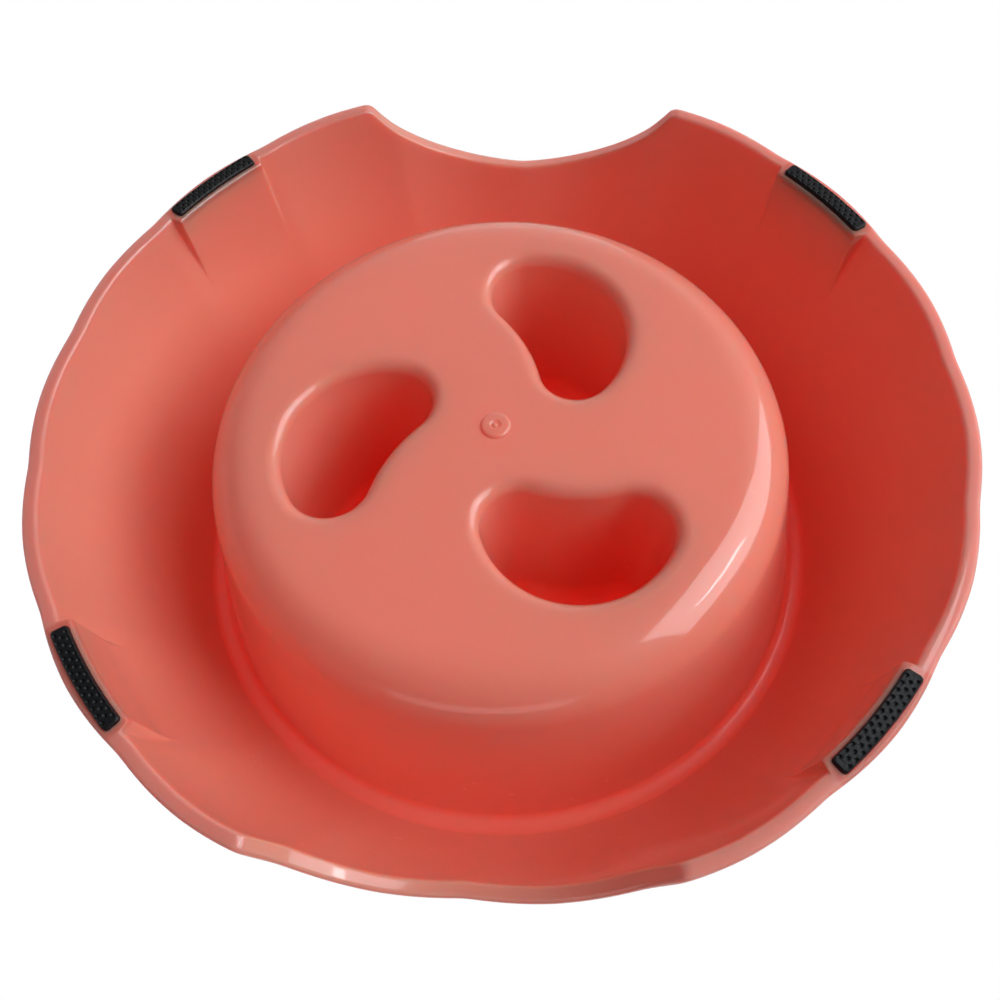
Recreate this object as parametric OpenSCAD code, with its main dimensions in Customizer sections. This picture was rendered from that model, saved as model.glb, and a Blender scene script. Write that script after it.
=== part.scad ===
// Slow feeder bowl: one moulded bowl with three hollow kidney obstacles
// and a fluted skirt, standing on four rubber feet.
// The table is z = 0 and the axis of the bowl is x = y = 0.
// The two finger notches lie on the y axis, and the feet beside the x axis.

/* [Rim and skirt] */
// Height from the table to the top of the rim
bowl_h = 64; // [60:0.5:72]
// Thickness of the rim at its crest
rim_wall = 3.4; // [2.6:0.1:4]
// Rounding of the rim on both sides of its crest
rim_round = 4.2; // [3.4:0.1:4.6]
// Radius of the skirt's lower edge, in the creases between the flutes
skirt_r = 101; // [99:0.5:106]
// Distance from the well's side up to the skirt's outside, at the top of the rim
rim_reach = 5.5; // [5:0.1:7.2]
// Outward bow of the skirt halfway up
skirt_bow = 2.9; // [0:0.1:4]
// Thickness of the skirt, measured level
skirt_wall = 3.4; // [2.8:0.1:3.8]
// Rounding of the skirt's lower edge
edge_round = 0.9; // [0.5:0.1:1.2]
// Number of flutes round the skirt
flutes = 18; // [12:2:24]
// Rise of a flute over its creases at the lower edge
flute_rise = 0.8; // [0.3:0.1:1.2]

/* [Well] */
// Outer radius of the well where its side would meet the flat underside
well_r = 63.6; // [61:0.2:66]
// Outer radius of the well where its side would reach the channel under the rim
well_top_r = 73.8; // [72.8:0.1:74.4]
// Height of the flat underside above the table
underside_z = 6.5; // [4:0.5:9]
// Thickness of the well's floor and side
well_wall = 3; // [2.4:0.1:3.4]
// Outer rounding between the underside and the side
well_round = 12; // [9:0.5:13]

/* [Obstacles] */
// Number of obstacles round the axis
obstacles = 3; // [2:1:3]
// Height of an obstacle above the floor of the well
obstacle_h = 52; // [30:0.5:54]
// Thickness of an obstacle's wall
obstacle_wall = 2.4; // [2:0.1:3]
// Radius of the larger end of a pocket
big_end_r = 9.3; // [8.6:0.1:9.8]
// Radius of the smaller end of a pocket
small_end_r = 8.2; // [7.8:0.1:8.8]
// Radius of a pocket's bulging side
belly_r = 21.6; // [21:0.1:26]
// Radius of a pocket's hollow side
waist_r = 38.5; // [34:0.5:60]
// Distance between the centres of a pocket's two ends
end_spacing = 23.8; // [22:0.1:24.4]
// Distance from the axis to the point halfway between the two ends
obstacle_place = 29.7; // [29:0.1:30.5]
// Angle from the x axis to that point of the first obstacle
obstacle_bearing = -7.5; // [-30:0.5:30]
// Turn of an obstacle about that point
obstacle_turn = -50.8; // [-60:0.2:-40]
// Draft of the obstacle's walls, in degrees
obstacle_draft = 1.5; // [0.5:0.1:2.5]
// Rounding of the pocket's mouth in the underside
mouth_round = 3; // [2:0.1:3.2]
// Rounding where an obstacle rises from the floor
root_round = 2; // [1:0.1:3]
// Rounding of an obstacle's top
crown_round = 8; // [5:0.5:8.5]

/* [Finger notches] */
// Radius of the arch of a finger notch
notch_r = 46; // [42:0.5:60]
// Height of the arch above the skirt's lower edge
notch_rise = 21.3; // [14:0.1:25]
// Rounding of a notch's two corners at the lower edge
notch_tip_round = 3; // [1:0.1:5]

/* [Feet] */
// Angle from the x axis to the middle of a foot
foot_bearing = 40.3; // [30:0.1:50]
// Length of a foot along the skirt's edge
foot_length = 24; // [18:0.5:28]
// Width of a foot
foot_width = 3.6; // [3:0.1:3.9]
// Rounding of a foot's corners, seen from below
foot_corner = 0.8; // [0.4:0.1:1.2]
// Bevel of a foot's lower edges
foot_bevel = 0.3; // [0.1:0.05:0.4]
// Height of a foot below the skirt's edge
foot_proud = 0.8; // [0.5:0.1:1.5]
// Depth of the pocket that holds a foot
foot_seat = 2; // [1:0.1:3]
// Gap between the sides of a foot and its pocket
foot_gap = 0.1; // [0.05:0.05:0.3]
// Wall between a foot and the outside of the skirt
outer_lip = 1; // [0.8:0.1:1.3]
// Wall between a foot and the inside of its pad
inner_lip = 1; // [0.8:0.1:1.4]
// Length of a pad past each end of its foot
end_lip = 1.5; // [1:0.1:2.5]
// Height of a pad above the skirt's lower edge
pad_h = 21.3; // [14:0.1:30]

/* [Gate mark] */
// Diameter of the button that the mould's gate leaves under the well
gate_d = 6.8; // [5:0.1:9]
// Height of the button
gate_h = 0.6; // [0.4:0.05:0.9]
// Diameter of the dimple in the button
dimple_d = 2.6; // [2:0.1:3.4]
// Diameter of the nub in the dimple
nub_d = 1; // [0.6:0.1:1.4]

/* [Hidden] */

// Steps of each round stretch
flute_steps = 6;
side_steps = 5;
edge_steps = 2;
rim_steps = 6;
channel_steps = 4;
turn_steps = 8;
end_steps = 8;
flank_steps = 9;
fillet_steps = 3;
notch_steps = 28;
corner_steps = 4;

// Overrun of every cut, and overlap of parts of one moulding
over = 0.5;

// Radius at which the skirt's outside would reach the top of the rim
skirt_top_r = well_top_r + rim_reach;

edge_z = foot_proud;
floor_z = underside_z + well_wall;
channel_z = bowl_h - rim_wall;
shoulder_z = bowl_h - 2 * rim_round;
obstacle_top_z = floor_z + obstacle_h;

// The channel between the well and the skirt is rounded right across
channel_w = skirt_side(channel_z) - skirt_wall - well_top_r;
channel_round = channel_w / 2;
well_slope = (well_top_r - well_r) / (channel_z - underside_z);

// Ring on the crest where the well and the skirt run into each other, and the
// overlap on both sides of it, as shares of the channel's width
seam_share = 0.56;
lap_share = 0.08;
seam_r = well_top_r + channel_w * seam_share;
seam_lap = channel_w * lap_share;

foot_out_r = skirt_r - outer_lip;
foot_in_r = foot_out_r - foot_width;
foot_mid_r = (foot_out_r + foot_in_r) / 2;
pad_in_r = foot_in_r - inner_lip;
notch_z = edge_z + notch_rise - notch_r;

function unit(v) = v / norm(v);
function polar(r, a) = r * [cos(a), sin(a)];

// Points of an arc from angle a0 to a1, the first one left out
function arc(centre, r, a0, a1, steps) =
  [for (i = [1 : steps]) centre + polar(r, a0 + (a1 - a0) * i / steps)];

// Points of the arc of radius r that rounds corner q between p and s
function rounded(p, q, s, r, steps) =
  let (
    u = unit(p - q),
    v = unit(s - q),
    half = acos(u * v) / 2,
    centre = q + unit(u + v) * r / sin(half),
    first = q + u * r / tan(half) - centre,
    last = q + v * r / tan(half) - centre,
    turn = atan2(cross(first, last), first * last)
  )
  concat([centre + first], arc(centre, r, atan2(first.y, first.x), atan2(first.y, first.x) + turn, steps));

// Radius of the skirt's outside in a crease at height z
function skirt_side(z) =
  let (t = (z - edge_z) / (bowl_h - edge_z))
  skirt_r + (skirt_top_r - skirt_r) * t + 4 * skirt_bow * t * (1 - t);

// Outer radius of the well at height z, and its inner radius
function well_side(z) = well_r + well_slope * (z - underside_z);
function well_inside(z) = well_side(z) - well_wall * norm([1, well_slope]);

// Outline of the well's wall from the axis out to the crest, as [r, z]
function well_outline() =
  let (
    heel = [well_r, underside_z],
    shoulder = [well_top_r, channel_z],
    lip = [well_inside(bowl_h), bowl_h],
    toe = [well_inside(floor_z), floor_z],
    crest_r = seam_r + seam_lap
  )
  concat(
    [[0, underside_z]],
    rounded([0, underside_z], heel, shoulder, well_round, turn_steps),
    rounded(heel, shoulder, [crest_r, channel_z], channel_round, channel_steps),
    [[crest_r, channel_z], [crest_r, bowl_h]],
    rounded([crest_r, bowl_h], lip, toe, rim_round, rim_steps),
    rounded(lip, toe, [0, floor_z], well_round - well_wall, turn_steps),
    [[0, floor_z]]
  );

// Outline of the skirt and the outer half of the rim, as [r, z]
function skirt_outline() =
  let (
    wall = [-skirt_wall, 0],
    outer = [skirt_side(edge_z), edge_z],
    top = [skirt_side(bowl_h), bowl_h],
    inner = outer + wall,
    corner = [skirt_side(channel_z), channel_z] + wall,
    side = [for (i = [1 : side_steps])
      let (z = edge_z + (shoulder_z - edge_z) * i / side_steps)
      [skirt_side(z), z]],
    crest_r = seam_r - seam_lap,
    last = side_steps - 1
  )
  concat(
    rounded(inner, outer, side[0], edge_round, edge_steps),
    side,
    rounded(side[last], top, [crest_r, bowl_h], rim_round, rim_steps),
    [[crest_r, bowl_h], [crest_r, channel_z]],
    rounded([crest_r, channel_z], corner, side[last] + wall, channel_round, channel_steps),
    [for (i = [last : -1 : 0]) side[i] + wall],
    rounded(side[0] + wall, inner, outer, edge_round, edge_steps)
  );

// Share of the flutes' rise at a point of the outline: it fades up the skirt,
// and in the channel it fades towards the well
function flute_share(p) =
  (1 - pow((p[1] - edge_z) / (bowl_h - edge_z), 3))
  * max(0, min(1, (p[0] - seam_r - seam_lap) / channel_round));

// Skirt and outer half of the rim: the outline carried round the axis, with
// its radius raised in a parabola across each flute
module skirt() {
  outline = skirt_outline();
  rows = len(outline);
  columns = flutes * flute_steps;
  points = [for (j = [0 : columns - 1])
    let (
      a = 360 * j / columns - 90,
      u = 2 * (j % flute_steps) / flute_steps - 1,
      rise = flute_rise * (1 - u * u)
    )
    for (p = outline)
      let (r = p[0] + rise * flute_share(p))
      [r * cos(a), r * sin(a), p[1]]];
  faces = [for (j = [0 : columns - 1])
    let (here = j * rows, next = (j + 1) % columns * rows)
    for (i = [0 : rows - 1])
      let (k = (i + 1) % rows)
      for (f = [[here + i, here + k, next + k], [here + i, next + k, next + i]]) f];
  polyhedron(points = points, faces = faces);
}

module well() {
  rotate_extrude($fn = 120) polygon(well_outline());
}

// Outline of a pocket, grown by d: two round ends joined by an arc that bulges
// and an arc that is hollow. It starts at the tip of the smaller end
function kidney(d) =
  let (
    a = [-end_spacing / 2, 0],
    b = [end_spacing / 2, 0],
    belly = arc_centre(belly_r - small_end_r, belly_r - big_end_r),
    waist = arc_centre(waist_r + small_end_r, waist_r + big_end_r),
    a_belly = bearing(a - belly),
    b_belly = bearing(b - belly),
    a_waist = bearing(waist - a) + 360,
    b_waist = bearing(waist - b),
    tip = (a_belly + a_waist) / 2
  )
  concat(
    arc(a, small_end_r + d, tip, a_waist, end_steps / 2),
    arc(waist, waist_r - d, a_waist - 180, b_waist + 180, flank_steps),
    arc(b, big_end_r + d, b_waist, b_belly, end_steps),
    arc(belly, belly_r + d, b_belly, a_belly, flank_steps),
    arc(a, small_end_r + d, a_belly, tip, end_steps / 2)
  );
function bearing(v) = atan2(v.y, v.x);

// Centre of an arc that lies ra from the smaller end's centre and rb from the larger's
function arc_centre(ra, rb) =
  let (x = (ra * ra - rb * rb) / (2 * end_spacing))
  [x, -sqrt(ra * ra - pow(x + end_spacing / 2, 2))];

// Rings of an obstacle or of its pocket, as [growth of the kidney, height]: a
// rounding at the base, a wall with draft, and a rounded crown. The first ring
// lies past the base, so that the solid passes cleanly through the floor
function kidney_rings(base_z, top_z, d, base_round, crown) =
  let (
    wall_z = base_z + base_round,
    crown_z = top_z - crown,
    lean = (crown_z - wall_z) * tan(obstacle_draft),
    base = [for (i = [0 : fillet_steps])
      let (k = i == 0 ? -1 : i, a = 90 * k / fillet_steps)
      [d + base_round * (1 - sin(a)), base_z + sign(k) * base_round * (1 - cos(a))]],
    dome = [for (i = [0 : fillet_steps])
      let (a = 90 * i / fillet_steps)
      [d - lean - crown * (1 - cos(a)), crown_z + crown * sin(a)]]
  )
  concat(base, dome);

// Solid through kidneys of the same number of points, with the end faces
// closed in strips from flank to flank, because the outline is hollow
module kidney_loft(rings) {
  outlines = [for (ring = rings) [for (p = kidney(ring[0])) [p.x, p.y, ring[1]]]];
  count = len(outlines[0]);
  half = count / 2;
  top = (len(rings) - 1) * count;
  sides = [for (k = [0 : len(rings) - 2])
    for (i = [0 : count - 1])
      let (a = k * count + i, b = k * count + (i + 1) % count)
      for (f = [[a, a + count, b + count], [a, b + count, b]]) f];
  strips = concat(
    [for (i = [0 : half - 2]) [i, i + 1, count - i - 1]],
    [for (i = [1 : half - 1]) [i, count - i - 1, count - i]]
  );
  lid = [for (s = strips) [top + s[2], top + s[1], top + s[0]]];
  polyhedron(points = [for (o = outlines) each o], faces = concat(sides, strips, lid));
}

module at_obstacles() {
  for (i = [0 : obstacles - 1])
    rotate(obstacle_bearing + 360 * i / obstacles)
      translate([obstacle_place, 0, 0])
        rotate(obstacle_turn)
          children();
}

module obstacle() {
  kidney_loft(kidney_rings(floor_z, obstacle_top_z, obstacle_wall, root_round, crown_round));
}

module pocket() {
  kidney_loft(kidney_rings(underside_z, obstacle_top_z - obstacle_wall, 0, mouth_round,
    crown_round - obstacle_wall));
}

// Arch of a finger notch with its two rounded corners, seen along the y axis
function notch_outline() =
  let (
    tip = [sqrt(pow(notch_r + notch_tip_round, 2) - pow(edge_z + notch_tip_round - notch_z, 2)),
      edge_z + notch_tip_round],
    arch = [0, notch_z],
    lift = bearing(tip - arch),
    right = arc(tip, notch_tip_round, 270, 180 + lift, corner_steps)
  )
  concat(
    [[tip.x, edge_z - over], [tip.x, edge_z]],
    right,
    arc(arch, notch_r, lift, 180 - lift, notch_steps),
    [for (i = [corner_steps - 2 : -1 : 0]) [-right[i].x, right[i].y]],
    [[-tip.x, edge_z], [-tip.x, edge_z - over]]
  );

// Cuts for both notches, clear of the well between them
module notches() {
  depth = skirt_r + flute_rise + over - well_top_r;
  for (side = [-1, 1])
    translate([0, side * (well_top_r + depth / 2), 0])
      rotate([90, 0, 0])
        linear_extrude(height = depth, center = true)
          polygon(notch_outline());
}

// Half of the angle that a length takes up on the feet's middle line
function half_angle(length) = asin(length / (2 * foot_mid_r));

// Outline of a foot grown by d on every side: a strip bent round the axis,
// with rounded corners
function foot_outline(d) =
  let (
    r0 = foot_in_r - d,
    r1 = foot_out_r + d,
    c = foot_corner + d,
    a = half_angle(foot_length + 2 * d),
    a0 = a - asin(c / (r0 + c)),
    a1 = a - asin(c / (r1 - c))
  )
  concat(
    arc([0, 0], r1, -a1, a1, side_steps),
    arc(polar(r1 - c, a1), c, a1, a + 90, corner_steps),
    arc(polar(r0 + c, a0), c, a + 90, a0 + 180, corner_steps),
    arc([0, 0], r0, a0, -a0, side_steps),
    arc(polar(r0 + c, -a0), c, 180 - a0, 270 - a, corner_steps),
    arc(polar(r1 - c, -a1), c, 270 - a, 360 - a1, corner_steps)
  );

// Pad on the inside of the skirt, which widens the edge for a foot's pocket
// and runs out into the skirt above
module pad() {
  a = half_angle(foot_length + 2 * end_lip);
  top_z = edge_z + pad_h;
  face_r = skirt_side(top_z) - skirt_wall + flute_rise * flute_share([skirt_r, top_z]);
  foot = [pad_in_r, edge_z];
  head = [face_r, top_z] + ([face_r, top_z] - foot) * skirt_wall / pad_h;
  back = [skirt_side(edge_z) - edge_round, edge_z];
  rotate([0, 0, -a])
    rotate_extrude(angle = 2 * a, $fn = 120)
      polygon(concat([back], rounded(back, foot, head, edge_round, edge_steps), [head]));
}

module at_feet() {
  for (bearing = [foot_bearing, 180 - foot_bearing, 180 + foot_bearing, -foot_bearing])
    rotate(bearing)
      children();
}

module foot_pocket() {
  translate([0, 0, edge_z - over])
    linear_extrude(height = foot_seat + over)
      polygon(foot_outline(foot_gap));
}

// Button under the middle of the well, with its dimple and nub
module gate_mark() {
  dome = [for (i = [0 : turn_steps])
    let (r = (gate_d + (dimple_d - gate_d) * i / turn_steps) / 2)
    [r, underside_z - gate_h * (1 - pow(2 * r / gate_d, 2))]];
  rotate_extrude($fn = 48)
    polygon(concat(
      [[0, underside_z + over], [gate_d / 2, underside_z + over]],
      dome,
      [[nub_d / 2, underside_z - gate_h / 3],
        [nub_d / 2, underside_z - gate_h],
        [0, underside_z - gate_h]]
    ));
}

module bowl() {
  color([0.86, 0.4, 0.33])
    difference() {
      union() {
        well();
        skirt();
        at_feet() pad();
        at_obstacles() obstacle();
        gate_mark();
      }
      at_obstacles() pocket();
      at_feet() foot_pocket();
      notches();
    }
}

// Rubber foot at an angle from the x axis, with its lower edges bevelled
module foot(bearing) {
  top_z = edge_z + foot_seat;
  color([0.09, 0.09, 0.1])
    rotate(bearing)
      intersection() {
        linear_extrude(height = top_z) polygon(foot_outline(0));
        rotate([0, 0, -90])
          rotate_extrude(angle = 180, $fn = 120)
            polygon([
              [foot_in_r + foot_bevel, 0],
              [foot_out_r - foot_bevel, 0],
              [foot_out_r + over, foot_bevel + over],
              [foot_out_r + over, top_z + over],
              [foot_in_r - over, top_z + over],
              [foot_in_r - over, foot_bevel + over]
            ]);
      }
}

bowl();
foot(180 + foot_bearing);  // foot_front_left
foot(-foot_bearing);  // foot_front_right
foot(180 - foot_bearing);  // foot_rear_left
foot(foot_bearing);  // foot_rear_right
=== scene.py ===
"""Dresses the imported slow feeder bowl: one glossy coral moulding on four black rubber feet."""

import logging
import math
from dataclasses import dataclass, field
from enum import Enum
from functools import partial

import bpy
import numpy as np
from mathutils import Euler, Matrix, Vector


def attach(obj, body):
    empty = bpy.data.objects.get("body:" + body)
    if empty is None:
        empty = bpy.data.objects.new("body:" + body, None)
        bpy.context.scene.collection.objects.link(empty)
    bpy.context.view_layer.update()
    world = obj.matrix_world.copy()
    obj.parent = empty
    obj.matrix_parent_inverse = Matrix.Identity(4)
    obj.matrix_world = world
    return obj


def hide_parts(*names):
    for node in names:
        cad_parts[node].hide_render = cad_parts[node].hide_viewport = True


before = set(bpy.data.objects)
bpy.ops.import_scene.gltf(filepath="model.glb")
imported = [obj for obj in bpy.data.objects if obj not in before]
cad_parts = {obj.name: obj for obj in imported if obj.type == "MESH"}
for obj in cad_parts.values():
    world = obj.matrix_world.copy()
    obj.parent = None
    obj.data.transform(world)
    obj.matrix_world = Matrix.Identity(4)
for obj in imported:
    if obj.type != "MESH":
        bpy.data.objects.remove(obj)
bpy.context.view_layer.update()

LOG = logging.getLogger("slow_feeder_bowl")
MM = 0.001
BODY = "root"
SHARP_ANGLE = math.radians(38)
WELD_MM = 1e-4
ANGLE_DIGITS = 4
Feed = bpy.types.NodeSocket | float | tuple[float, ...]


def polar(radius: np.ndarray, azimuth: np.ndarray, height: np.ndarray) -> np.ndarray:
    """Points in the row frame from cylinder coordinates.

    The formula is x = radius cos azimuth, y = radius sin azimuth, z = height.

    Args:
        radius: Distances from the axis, in mm.
        azimuth: Angles from the x axis, in degrees.
        height: Heights above the table, in mm.

    Returns:
        An array with a last axis of three.
    """
    turn = np.radians(azimuth)
    return np.stack(np.broadcast_arrays(radius * np.cos(turn), radius * np.sin(turn), height), axis=-1)


def turned(points: np.ndarray, angle: float) -> np.ndarray:
    """Points of a plane turned about its origin by an angle in degrees."""
    c, s = math.cos(math.radians(angle)), math.sin(math.radians(angle))
    return points @ np.array([[c, s], [-s, c]])


def smooth(low: float, high: float, value: np.ndarray) -> np.ndarray:
    """A smooth step from 0 at low to 1 at high: 3 t squared less 2 t cubed.

    Args:
        low: The value where the step starts.
        high: The value where it ends.
        value: Where to work it out.

    Returns:
        The step at each value.
    """
    t = np.clip((value - low) / (high - low), 0, 1)
    return t * t * (3 - 2 * t)


def fillet(before: np.ndarray, corner: np.ndarray, after: np.ndarray, radius: float,
           steps: int) -> np.ndarray:
    """An arc that rounds a corner of an outline.

    The centre lies on the corner's bisector, radius / sin(half the angle) away,
    and the arc turns from one tangent point to the other in equal steps.

    Args:
        before: The outline's point before the corner, as [r, z].
        corner: The corner.
        after: The outline's point after the corner.
        radius: The arc's radius, in mm.
        steps: How many equal steps the arc has.

    Returns:
        The arc's points, both tangent points included.
    """
    before, corner, after = (np.asarray(p, float) for p in (before, corner, after))
    u = (before - corner) / np.linalg.norm(before - corner)
    v = (after - corner) / np.linalg.norm(after - corner)
    half = math.acos(float(u @ v)) / 2
    bisector = (u + v) / np.linalg.norm(u + v)
    centre = corner + bisector * radius / math.sin(half)
    first = corner + u * radius / math.tan(half) - centre
    last = corner + v * radius / math.tan(half) - centre
    turn = math.atan2(first[0] * last[1] - first[1] * last[0], float(first @ last))
    angle = math.atan2(first[1], first[0]) + turn * np.linspace(0, 1, steps + 1)
    return centre + radius * np.stack([np.cos(angle), np.sin(angle)], axis=-1)


def between(start: np.ndarray, end: np.ndarray, steps: int) -> np.ndarray:
    """Points strictly between two points, evenly spaced.

    Args:
        start: The first point.
        end: The last point.
        steps: How many steps the stretch has.

    Returns:
        The steps - 1 points inside the stretch.
    """
    t = np.linspace(0, 1, steps + 1)[1:-1, None]
    return np.asarray(start) * (1 - t) + np.asarray(end) * t


def heading(vector: np.ndarray) -> float:
    """Angle of a plane vector from the x axis, in radians."""
    return math.atan2(vector[1], vector[0])


def rim_of(grid: np.ndarray) -> np.ndarray:
    """Points round the rim of a grid, in order."""
    return np.concatenate([grid[:, 0], grid[-1, 1:], grid[-2::-1, -1], grid[0, -2:0:-1]])


def linked(name: str, data: bpy.types.ID) -> bpy.types.Object:
    """Makes an object and links it to the scene.

    Args:
        name: The object's name.
        data: Its mesh or camera.

    Returns:
        The new object, at the origin.
    """
    item = bpy.data.objects.new(name, data)
    bpy.context.scene.collection.objects.link(item)
    return item


class Mesh:
    """Collects grids of points, welds their shared edges and makes one Blender object."""

    def __init__(self) -> None:
        """Starts with no points."""
        self.points: list[np.ndarray] = []
        self.quads: list[np.ndarray] = []
        self.count = 0

    def add_grid(self, grid: np.ndarray, wrap: bool = True, flip: bool = False) -> None:
        """Adds a grid of quads.

        Corner order is (row, column), (row, column + 1), (row + 1, column + 1),
        (row + 1, column), so the normal points along columns x rows.

        Args:
            grid: Points in mm, with axes row, column and coordinate.
            wrap: Whether the last column joins the first.
            flip: Whether to turn the faces over.
        """
        rows, columns = grid.shape[:2]
        index = self.count + np.arange(rows * columns).reshape(rows, columns)
        here = index if wrap else index[:, :-1]
        there = np.roll(index, -1, axis=1) if wrap else index[:, 1:]
        quads = np.stack([here[:-1], there[:-1], there[1:], here[1:]], axis=-1).reshape(-1, 4)
        self.points.append(grid.reshape(-1, 3))
        self.quads.append(quads[:, ::-1] if flip else quads)
        self.count += rows * columns

    def make(self, name: str) -> bpy.types.Object:
        """Welds the points and makes the object.

        Points that round to the same place become one. A quad that loses a
        corner becomes a triangle, and one that loses two is dropped.

        Args:
            name: The object's name.

        Returns:
            The object, linked to the scene, with its place in its mesh.
        """
        points = np.concatenate(self.points)
        quads = np.concatenate(self.quads)
        _, first, inverse = np.unique(
            np.round(points / WELD_MM).astype(np.int64), axis=0, return_index=True, return_inverse=True)
        quads = inverse.ravel()[quads]
        same = quads == np.roll(quads, -1, axis=1)
        crossed = (quads[:, 0] == quads[:, 2]) | (quads[:, 1] == quads[:, 3])
        whole = quads[(same.sum(axis=1) == 0) & ~crossed]
        thin = (same.sum(axis=1) == 1) & ~crossed
        triangles = quads[thin][~same[thin]].reshape(-1, 3)
        mesh = bpy.data.meshes.new(name)
        mesh.from_pydata((points[first] * MM).tolist(), [], whole.tolist() + triangles.tolist())
        mesh.polygons.foreach_set("use_smooth", np.ones(len(mesh.polygons), bool))
        mesh.set_sharp_from_angle(angle=SHARP_ANGLE)
        mesh.update()
        LOG.info("%s: %d vertices, %d faces", name, len(mesh.vertices), len(mesh.polygons))
        return linked(name, mesh)


@dataclass
class Notch:
    """One of the two finger notches: an arch in the skirt's lower edge, across the y axis."""

    arch_r: float = 46.0
    rise: float = 21.3
    tip_round: float = 3.0
    edge_z: float = 0.8

    @property
    def arch_z(self) -> float:
        """Height of the arch's centre."""
        return self.edge_z + self.rise - self.arch_r

    @property
    def tip_x(self) -> float:
        """Distance from the y axis to the centre of a tip's rounding."""
        return math.sqrt((self.arch_r + self.tip_round) ** 2
                         - (self.edge_z + self.tip_round - self.arch_z) ** 2)

    def edge(self, x: np.ndarray) -> np.ndarray:
        """Height of the skirt's lower edge at a distance from the y axis.

        It is the arch's circle inside the tangent point, the tip's circle from
        there to the tip's centre, and the level edge outside.

        Args:
            x: Distances from the y axis, in mm.

        Returns:
            Heights, in mm.
        """
        x = np.abs(x)
        tangent = self.tip_x * self.arch_r / (self.arch_r + self.tip_round)
        arch = self.arch_z + np.sqrt(np.maximum(self.arch_r ** 2 - x * x, 0))
        tip = self.edge_z + self.tip_round - np.sqrt(
            np.maximum(self.tip_round ** 2 - (x - self.tip_x) ** 2, 0))
        return np.where(x < tangent, arch, np.where(x < self.tip_x, tip, self.edge_z))


@dataclass
class FootSeat:
    """Where a rubber foot sits: its own size, its pocket and the pad round it."""

    bearing: float = 40.3
    length: float = 24.0
    outer_r: float = 100.0
    width: float = 3.6
    corner: float = 0.8
    bevel: float = 0.3
    proud: float = 0.8
    depth: float = 2.0
    gap: float = 0.1
    lip: float = 1.0
    end_lip: float = 1.5
    pad_h: float = 21.3
    step_soft: float = 0.9
    step_columns: int = 7
    end_columns: tuple[float, ...] = (-0.02, 0.02, 0.08, 0.2, 0.4, 0.65)

    @property
    def inner_r(self) -> float:
        """Radius of a foot's inner side."""
        return self.outer_r - self.width

    @property
    def middle_r(self) -> float:
        """Radius of a foot's middle line."""
        return self.outer_r - self.width / 2

    @property
    def bearings(self) -> np.ndarray:
        """Azimuths of the four feet, in degrees."""
        return np.array([self.bearing, 180 - self.bearing, 180 + self.bearing, 360 - self.bearing])

    def angle(self, along: np.ndarray) -> np.ndarray:
        """Angle from a foot's middle to a point a length along it, in degrees."""
        return np.degrees(np.arcsin(along / self.middle_r))

    def along(self, azimuth: np.ndarray) -> np.ndarray:
        """Length along the nearest foot from its middle to an azimuth.

        Args:
            azimuth: Angles from the x axis, in degrees.

        Returns:
            Lengths on the foot's middle line, never negative, in mm.
        """
        away = (azimuth[:, None] - self.bearings + 180) % 360 - 180
        return self.middle_r * np.sin(np.radians(np.abs(away).min(axis=1).clip(0, 90)))

    def columns(self) -> np.ndarray:
        """Azimuths that the pads' steps and the pockets' ends need.

        Returns:
            Angles from the x axis, in degrees.
        """
        step = self.length / 2 + self.end_lip + self.step_soft * np.linspace(-0.5, 0.5, self.step_columns)
        end = self.length / 2 + self.gap
        pocket = end - np.array([*self.end_columns, self.corner + self.gap])
        angles = self.angle(np.concatenate([step, pocket]))
        return (self.bearings[:, None] + np.concatenate([-angles, angles])).ravel() % 360


@dataclass
class Skirt:
    """The fluted skirt that the bowl stands on."""

    height: float = 64.0
    edge_z: float = 0.8
    edge_r: float = 101.0
    top_r: float = 79.3
    bow: float = 2.9
    wall: float = 3.4
    edge_round: float = 0.9
    flutes: int = 18
    flute_rise: float = 0.8
    crease_share: float = 0.1
    crease_columns: tuple[float, ...] = (-0.8, -0.35, 0, 0.35, 0.8)

    def side(self, z: np.ndarray) -> np.ndarray:
        """Outer radius in a crease: a straight cone with a parabolic bow.

        Args:
            z: Heights, in mm.

        Returns:
            Radii, in mm.
        """
        t = (z - self.edge_z) / (self.height - self.edge_z)
        return self.edge_r + (self.top_r - self.edge_r) * t + 4 * self.bow * t * (1 - t)

    def rise(self, azimuth: np.ndarray) -> np.ndarray:
        """Rise of the flutes at the lower edge, a parabola across each with its creases softened.

        Args:
            azimuth: Angles from the x axis, in degrees.

        Returns:
            Rises, in mm.
        """
        u = 2 * np.mod((azimuth + 90) * self.flutes / 360, 1) - 1
        v = np.sqrt((1 - np.abs(u)) ** 2 + self.crease_share ** 2) - self.crease_share
        return self.flute_rise * (2 * v - v * v)

    def fade(self, z: np.ndarray) -> np.ndarray:
        """Share of the flutes' rise left at a height: 1 less the cube of the share of the height."""
        return 1 - ((z - self.edge_z) / (self.height - self.edge_z)) ** 3

    def columns(self) -> np.ndarray:
        """Azimuths that the softened creases need."""
        crease = 360 / self.flutes * np.arange(self.flutes) - 90
        return (crease[:, None] + np.array(self.crease_columns)).ravel() % 360


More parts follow.
